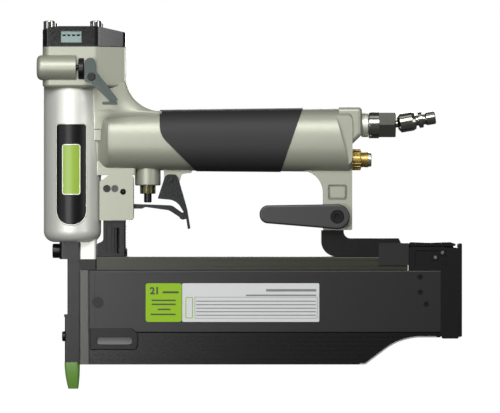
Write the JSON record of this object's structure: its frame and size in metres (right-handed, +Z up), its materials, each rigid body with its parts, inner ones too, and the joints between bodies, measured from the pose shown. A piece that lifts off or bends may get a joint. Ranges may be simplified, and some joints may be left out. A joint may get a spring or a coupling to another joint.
{
  "type": "pneumatic pin nailer",
  "caption": "Compressed-air pin and brad nailer: upright barrel, sleeved handle, side-opening pin magazine, contact tip, trigger, belt hook and swivel air plug.",
  "frame": {"origin": "centre of the bottom face of the contact tip, on the driver axis", "axes": "+Z up along the driver axis towards the cap; +X from the nose to the tail of the magazine; -Y is the side with the labels"},
  "size_m": [0.2537, 0.0484, 0.22],
  "materials": {
    "paint_champagne": "satin metallic paint",
    "grip_rubber": "matte ribbed rubber",
    "badge_black": "satin",
    "badge_green": "gloss",
    "aluminium": "machined",
    "seal_rubber": "smooth",
    "tool_steel": "ground",
    "cap_black": "gloss",
    "bright_metal": "bright",
    "chrome_screw": "polished",
    "spring_steel": "drawn",
    "dark_steel": "black oxide",
    "tip_green": "satin",
    "moulded_black": "satin",
    "trigger_black": "satin",
    "brass": "turned",
    "rail_olive": "anodised",
    "panel_black": "satin black anodised",
    "latch_steel": "satin",
    "label_green": "satin",
    "label_white": "satin",
    "hook_grey": "satin",
    "plug_steel": "plated"
  },
  "bodies": {
    "frame": {"housing": "paint_champagne", "grip_sleeve": "grip_rubber", "badge_inlay": "badge_black", "badge_plate": "badge_green", "cylinder_sleeve": "aluminium", "sleeve_seals": "seal_rubber", "bumper": "seal_rubber", "cap_gasket": "seal_rubber", "head_cap": "cap_black", "exhaust_grille": "bright_metal", "cap_screws": "chrome_screw", "head_valve_spring": "spring_steel", "driver_guide": "dark_steel", "nose_plate": "dark_steel", "nose_screw": "dark_steel", "contact_spring": "spring_steel", "spring_column": "moulded_black", "guide_block": "paint_champagne", "block_screws": "dark_steel", "trigger_pin": "dark_steel", "trigger_valve_body": "brass", "magazine_rail": "rail_olive", "front_junction": "moulded_black", "tail_bracket": "moulded_black", "keeper_block": "panel_black", "hook_screw": "dark_steel", "inlet_collar": "bright_metal", "silencer_body": "brass", "silencer_disc": "bright_metal", "lever_pin": "bright_metal"},
    "driver": {"piston": "aluminium", "piston_seal": "seal_rubber", "driver_blade": "tool_steel"},
    "head_valve": {"head_valve": "aluminium"},
    "contact": {"contact_foot": "dark_steel", "no_mar_tip": "tip_green", "contact_screw": "dark_steel", "contact_link": "dark_steel", "lifter_rod": "bright_metal"},
    "trigger": {"trigger": "trigger_black"},
    "arm_pin": {"arm_pin": "bright_metal"},
    "actuator": {"actuator_arm": "trigger_black"},
    "valve_stem": {"valve_stem": "dark_steel"},
    "cover": {"cover_panel": "panel_black", "panel_screws": "dark_steel", "front_strip": "dark_steel", "cover_channel": "panel_black", "window_frame": "moulded_black", "end_cap": "moulded_black", "latch_pins": "bright_metal", "label_green": "label_green", "label_white": "label_white"},
    "pusher": {"pusher": "bright_metal", "pusher_spring": "spring_steel"},
    "latch": {"latch": "latch_steel"},
    "belt_hook": {"belt_hook": "hook_grey"},
    "swivel": {"swivel_nut": "chrome_screw"},
    "plug": {"air_plug": "plug_steel"},
    "blow_lever": {"blow_lever": "latch_steel"},
    "blow_plunger": {"blow_plunger": "moulded_black"}
  },
  "joints": [
    {"name": "driver_stroke", "type": "slide", "parent": "frame", "child": "driver", "axis": [0, 0, -1], "range_m": [0, 0.0692]},
    {"name": "head_valve_lift", "type": "slide", "parent": "frame", "child": "head_valve", "axis": [0, 0, 1], "range_m": [0, 0.003], "stiffness_N_per_m": 900, "springref_m": -0.004, "deforming": ["head_valve_spring"]},
    {"name": "contact_slide", "type": "slide", "parent": "frame", "child": "contact", "axis": [0, 0, 1], "range_m": [0, 0.007], "stiffness_N_per_m": 350, "springref_m": -0.012, "deforming": ["contact_spring"]},
    {"name": "trigger_pull", "type": "hinge", "parent": "frame", "child": "trigger", "pos_m": [0.0594, 0, 0.1251], "axis": [0, -1, 0], "range_deg": [0, 14], "stiffness_Nm_per_rad": 0.25, "springref_deg": -20.05},
    {"name": "arm_pin_turn", "type": "hinge", "parent": "trigger", "child": "arm_pin", "pos_m": [0.0663, 0, 0.1035], "axis": [0, -1, 0], "range_deg": [-10.5, 0]},
    {"name": "actuator_lift", "type": "hinge", "parent": "arm_pin", "child": "actuator", "pos_m": [0.0663, 0, 0.1035], "axis": [0, 1, 0], "range_deg": [0, 1.85]},
    {"name": "stem_lift", "type": "slide", "parent": "frame", "child": "valve_stem", "axis": [0, 0, 1], "range_m": [0, 0.00125]},
    {"name": "cover_slide", "type": "slide", "parent": "frame", "child": "cover", "axis": [1, 0, 0], "range_m": [0, 0.14]},
    {"name": "pusher_slide", "type": "slide", "parent": "cover", "child": "pusher", "axis": [1, 0, 0], "range_m": [0, 0.09], "stiffness_N_per_m": 30, "springref_m": -0.12},
    {"name": "latch_squeeze", "type": "hinge", "parent": "cover", "child": "latch", "pos_m": [0.2216, 0, 0.0817], "axis": [0, 1, 0], "range_deg": [0, 6], "stiffness_Nm_per_rad": 0.6, "springref_deg": -11.46},
    {"name": "hook_swing", "type": "hinge", "parent": "frame", "child": "belt_hook", "pos_m": [0.1586, 0, 0.1031], "axis": [0, -1, 0], "range_deg": [0, 180]},
    {"name": "swivel_spin", "type": "hinge", "parent": "frame", "child": "swivel", "pos_m": [0.18, 0, 0.1581], "axis": [1, 0, 0], "continuous": true},
    {"name": "plug_tilt", "type": "hinge", "parent": "swivel", "child": "plug", "pos_m": [0.1904, 0, 0.1581], "axis": [0, -1, 0], "range_deg": [-24, 5]},
    {"name": "blow_lever_press", "type": "hinge", "parent": "frame", "child": "blow_lever", "pos_m": [0.0123, 0, 0.1863], "axis": [0, 1, 0], "range_deg": [0, 18], "stiffness_Nm_per_rad": 0.05, "springref_deg": -17.19},
    {"name": "plunger_push", "type": "slide", "parent": "frame", "child": "blow_plunger", "axis": [-1, 0, 0], "range_m": [0, 0.00125]}
  ],
  "couplings": [
    {"joint": "arm_pin_turn", "follows": "trigger_pull", "ratio": -0.703},
    {"joint": "actuator_lift", "follows": "contact_slide", "rad_per_m": 4.49},
    {"joint": "stem_lift", "follows": "trigger_pull", "m_per_rad": 0.00491},
    {"joint": "plunger_push", "follows": "blow_lever_press", "m_per_rad": 0.00382}
  ]
}
